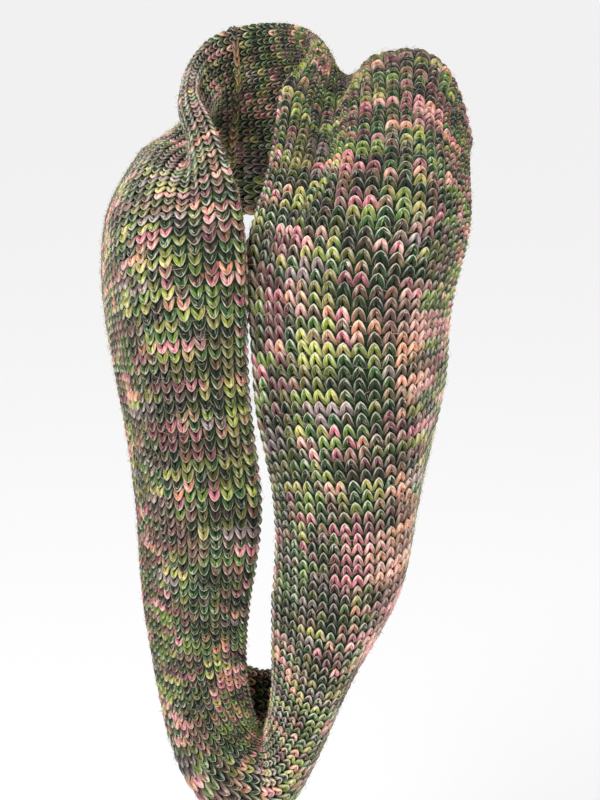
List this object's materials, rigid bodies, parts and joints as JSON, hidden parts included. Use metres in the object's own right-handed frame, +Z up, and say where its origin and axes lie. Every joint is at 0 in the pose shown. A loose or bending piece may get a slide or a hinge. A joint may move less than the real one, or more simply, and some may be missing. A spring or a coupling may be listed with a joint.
{
  "type": "infinity scarf",
  "caption": "Chunky knitted infinity scarf: a flat knitted tube joined in a ring, worn as one long loop round the neck and over both shoulders.",
  "frame": {"origin": "the point on the scarf's inner face where the nape of the neck carries it", "axes": "+Z up, along the scarf's hang; -Y the way the wearer faces; +X the wearer's left"},
  "size_m": [0.386, 0.3525, 0.796],
  "materials": {
    "marled_yarn": "chunky marled wool yarn in greens, pinks and cream, soft and matt with a slight halo"
  },
  "bodies": {
    "root": {"neck_left": "marled_yarn", "left_front": "marled_yarn", "bottom_bend": "marled_yarn", "right_front": "marled_yarn", "neck_right": "marled_yarn"}
  },
  "joints": []
}
